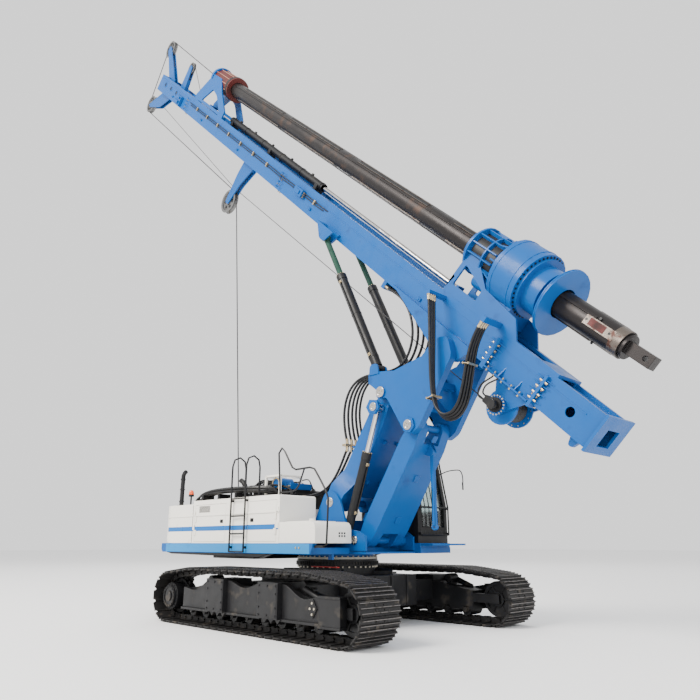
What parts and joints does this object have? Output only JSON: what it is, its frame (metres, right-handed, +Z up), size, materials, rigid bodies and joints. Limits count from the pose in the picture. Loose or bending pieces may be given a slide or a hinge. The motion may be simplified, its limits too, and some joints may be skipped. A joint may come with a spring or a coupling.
{
  "type": "rotary piling rig",
  "caption": "Crawler drilling rig: slewing upper with cab, parallelogram boom, long raking mast, rotary drive on a crowd carriage and a telescopic kelly bar on ropes",
  "frame": {"origin": "Centre of the bounding box seen from above, on the ground under the tracks", "axes": "+X is the front of the crawler, +Y its left side, +Z up; the slewing axis stands at x = 1.923 m"},
  "size_m": [16.0744, 4.344, 18.1815],
  "materials": {
    "blue_paint": "gloss enamel",
    "white_paint": "satin enamel",
    "black_paint": "satin enamel",
    "track_steel": "worn, dusty",
    "kelly_steel": "dark rolled steel, worn in streaks",
    "sheave_steel": "greased",
    "chrome_rod": "ground and polished",
    "rust_paint": "primer red, worn",
    "green_sleeve": "protective wrap",
    "hose_rubber": "matte",
    "seat_vinyl": "matte"
  },
  "bodies": {
    "undercarriage": {"car_body": "black_paint"},
    "track_side_right": {"track_frame_right": "black_paint", "track_right": "track_steel", "final_drive_right": "black_paint"},
    "track_side_left": {"track_frame_left": "black_paint", "track_left": "track_steel", "final_drive_left": "black_paint"},
    "upper": {"upper_frame": "blue_paint", "counterweight": "white_paint", "engine_housing": "white_paint", "engine_block": "black_paint", "fuel_tank": "white_paint", "access_ladder": "black_paint", "handrail": "black_paint", "exhaust_pipe": "black_paint", "hydraulic_deck": "black_paint", "cab_shell": "black_paint", "cab_guard": "black_paint", "operator_seat": "seat_vinyl", "hoses_deck": "hose_rubber"},
    "cab_door_leaf": {"cab_door": "black_paint"},
    "service_door_right_rear_leaf": {"service_door_right_rear": "white_paint"},
    "service_door_right_front_leaf": {"service_door_right_front": "white_paint"},
    "service_door_left_leaf": {"service_door_left": "white_paint"},
    "main_winch": {"main_winch_drum": "sheave_steel"},
    "boom_arm": {"boom": "blue_paint", "hoses_boom": "hose_rubber"},
    "link_arm": {"front_link": "blue_paint"},
    "strut": {"transport_strut": "blue_paint"},
    "luffing_barrels": {"luffing_barrel_right": "black_paint", "luffing_barrel_left": "black_paint"},
    "luffing_rods": {"luffing_rod_right": "chrome_rod", "luffing_rod_left": "chrome_rod"},
    "triangle": {"triangle_frame": "blue_paint", "hoses_mast": "hose_rubber"},
    "mast": {"mast_foot": "blue_paint", "mast_middle": "blue_paint", "mast_upper": "blue_paint", "mast_head": "blue_paint", "crowd_barrel": "black_paint", "rope_guide_arm": "blue_paint", "mast_winch_frame": "blue_paint", "hoses_loop": "hose_rubber"},
    "mast_cylinder_barrels": {"mast_cylinder_barrel_right": "black_paint", "mast_cylinder_barrel_left": "black_paint"},
    "mast_cylinder_rods": {"mast_cylinder_rod_right": "green_sleeve", "mast_cylinder_rod_left": "green_sleeve"},
    "mast_winch": {"mast_winch_drum": "blue_paint"},
    "main_sheave": {"sheave_main": "sheave_steel"},
    "aux_sheave": {"sheave_aux": "sheave_steel"},
    "rear_sheave": {"sheave_rear": "sheave_steel"},
    "guide_sheave": {"sheave_guide": "sheave_steel"},
    "drive_carriage": {"carriage": "blue_paint", "crowd_rod": "chrome_rod", "rotary_drive": "blue_paint"},
    "casing_sleeve": {"drive_sleeve": "blue_paint"},
    "kelly_guide_frame": {"kelly_guide": "blue_paint"},
    "kelly_bar": {"kelly_collar": "rust_paint", "kelly_outer": "kelly_steel"},
    "kelly_core": {"kelly_inner": "kelly_steel"}
  },
  "joints": [
    {"name": "retract_right", "type": "slide", "parent": "undercarriage", "child": "track_side_right", "axis": [0, 1, 0], "range_m": [0, 0.65]},
    {"name": "retract_left", "type": "slide", "parent": "undercarriage", "child": "track_side_left", "axis": [0, -1, 0], "range_m": [0, 0.65]},
    {"name": "slew", "type": "hinge", "parent": "undercarriage", "child": "upper", "pos_m": [1.92318, 0, 1.1], "axis": [0, 0, 1], "continuous": true},
    {"name": "cab_door_hinge", "type": "hinge", "parent": "upper", "child": "cab_door_leaf", "pos_m": [2.34318, 1.514, 2.15], "axis": [0, 0, 1], "range_deg": [0, 100]},
    {"name": "service_hinge_right_rear", "type": "hinge", "parent": "upper", "child": "service_door_right_rear_leaf", "pos_m": [-0.61682, -1.514, 1.75], "axis": [0, 0, -1], "range_deg": [0, 110]},
    {"name": "service_hinge_right_front", "type": "hinge", "parent": "upper", "child": "service_door_right_front_leaf", "pos_m": [1.98318, -1.514, 1.75], "axis": [0, 0, 1], "range_deg": [0, 110]},
    {"name": "service_hinge_left", "type": "hinge", "parent": "upper", "child": "service_door_left_leaf", "pos_m": [-0.61682, 1.514, 1.75], "axis": [0, 0, 1], "range_deg": [0, 110]},
    {"name": "main_winch_spin", "type": "hinge", "parent": "upper", "child": "main_winch", "pos_m": [-1.05682, 0, 2], "axis": [0, 1, 0], "continuous": true},
    {"name": "boom_hinge", "type": "hinge", "parent": "upper", "child": "boom_arm", "pos_m": [2.38318, 0, 2.07], "axis": [0, 1, 0], "range_deg": [-13, 32], "deforming": ["hoses_deck", "hoses_boom"]},
    {"name": "front_link_hinge", "type": "hinge", "parent": "upper", "child": "link_arm", "pos_m": [2.99318, 0, 1.42], "axis": [0, 1, 0], "range_deg": [-13, 32]},
    {"name": "triangle_level", "type": "hinge", "parent": "boom_arm", "child": "triangle", "pos_m": [3.58318, 0, 3.88], "axis": [0, 1, 0], "range_deg": [-32, 13], "deforming": ["hoses_boom"]},
    {"name": "luffing_barrel_hinge", "type": "hinge", "parent": "upper", "child": "luffing_barrels", "pos_m": [2.64318, 0, 1.39], "axis": [0, 1, 0], "range_deg": [-10.5, 25.5]},
    {"name": "luffing_stroke", "type": "slide", "parent": "luffing_barrels", "child": "luffing_rods", "axis": [0.3438, 0, 0.9391], "range_m": [-0.31, 0.13]},
    {"name": "strut_swing", "type": "hinge", "parent": "link_arm", "child": "strut", "pos_m": [4.2238, 0, 2.82377], "axis": [0, -1, 0], "range_deg": [-30, 55]},
    {"name": "mast_hinge", "type": "hinge", "parent": "triangle", "child": "mast", "pos_m": [4.92318, 0, 4.4], "axis": [0, -1, 0], "range_deg": [-50.5, 44.5], "deforming": ["hoses_mast"]},
    {"name": "mast_cylinder_hinge", "type": "hinge", "parent": "triangle", "child": "mast_cylinder_barrels", "pos_m": [3.42318, 0, 4.35], "axis": [0, -1, 0], "range_deg": [-55, 48.5]},
    {"name": "mast_cylinder_stroke", "type": "slide", "parent": "mast_cylinder_barrels", "child": "mast_cylinder_rods", "axis": [-0.4217, 0, 0.9067], "range_m": [-0.9, 1.02]},
    {"name": "mast_winch_spin", "type": "hinge", "parent": "mast", "child": "mast_winch", "pos_m": [5.75965, 0, 3.35367], "axis": [0, 1, 0], "continuous": true},
    {"name": "main_sheave_spin", "type": "hinge", "parent": "mast", "child": "main_sheave", "pos_m": [-6.64298, 0, 17.8831], "axis": [0, 1, 0], "continuous": true},
    {"name": "aux_sheave_spin", "type": "hinge", "parent": "mast", "child": "aux_sheave", "pos_m": [-5.10051, 0, 16.15701], "axis": [0, 1, 0], "continuous": true},
    {"name": "rear_sheave_spin", "type": "hinge", "parent": "mast", "child": "rear_sheave", "pos_m": [-7.73885, 0, 16.24006], "axis": [0, 1, 0], "continuous": true},
    {"name": "guide_sheave_spin", "type": "hinge", "parent": "mast", "child": "guide_sheave", "pos_m": [-2.39694, 0, 10.21947], "axis": [0, 1, 0], "continuous": true},
    {"name": "crowd", "type": "slide", "parent": "mast", "child": "drive_carriage", "axis": [-0.7133, 0, 0.7009], "range_m": [-0.6, 4.4], "deforming": ["hoses_loop"]},
    {"name": "sleeve_spin", "type": "hinge", "parent": "drive_carriage", "child": "casing_sleeve", "pos_m": [6.19466, 0, 5.36573], "axis": [-0.7133, 0, 0.7009], "continuous": true},
    {"name": "kelly_guide_travel", "type": "slide", "parent": "mast", "child": "kelly_guide_frame", "axis": [-0.7133, 0, 0.7009], "range_m": [-9.9, 0]},
    {"name": "kelly_spin", "type": "hinge", "parent": "kelly_guide_frame", "child": "kelly_bar", "pos_m": [-2.64965, 0, 14.057], "axis": [-0.7133, 0, 0.7009], "continuous": true},
    {"name": "kelly_extend", "type": "slide", "parent": "kelly_bar", "child": "kelly_core", "axis": [-0.7133, 0, 0.7009], "range_m": [-12, 0]}
  ],
  "couplings": [
    {"joint": "front_link_hinge", "follows": "boom_hinge", "ratio": 1},
    {"joint": "triangle_level", "follows": "boom_hinge", "ratio": -1},
    {"joint": "luffing_barrel_hinge", "follows": "boom_hinge", "ratio": 0.79},
    {"joint": "luffing_stroke", "follows": "boom_hinge", "m_per_rad": -0.54},
    {"joint": "mast_cylinder_hinge", "follows": "mast_hinge", "ratio": 1.08},
    {"joint": "mast_cylinder_stroke", "follows": "mast_hinge", "m_per_rad": -1.15},
    {"joint": "sleeve_spin", "follows": "kelly_spin", "ratio": 1}
  ]
}
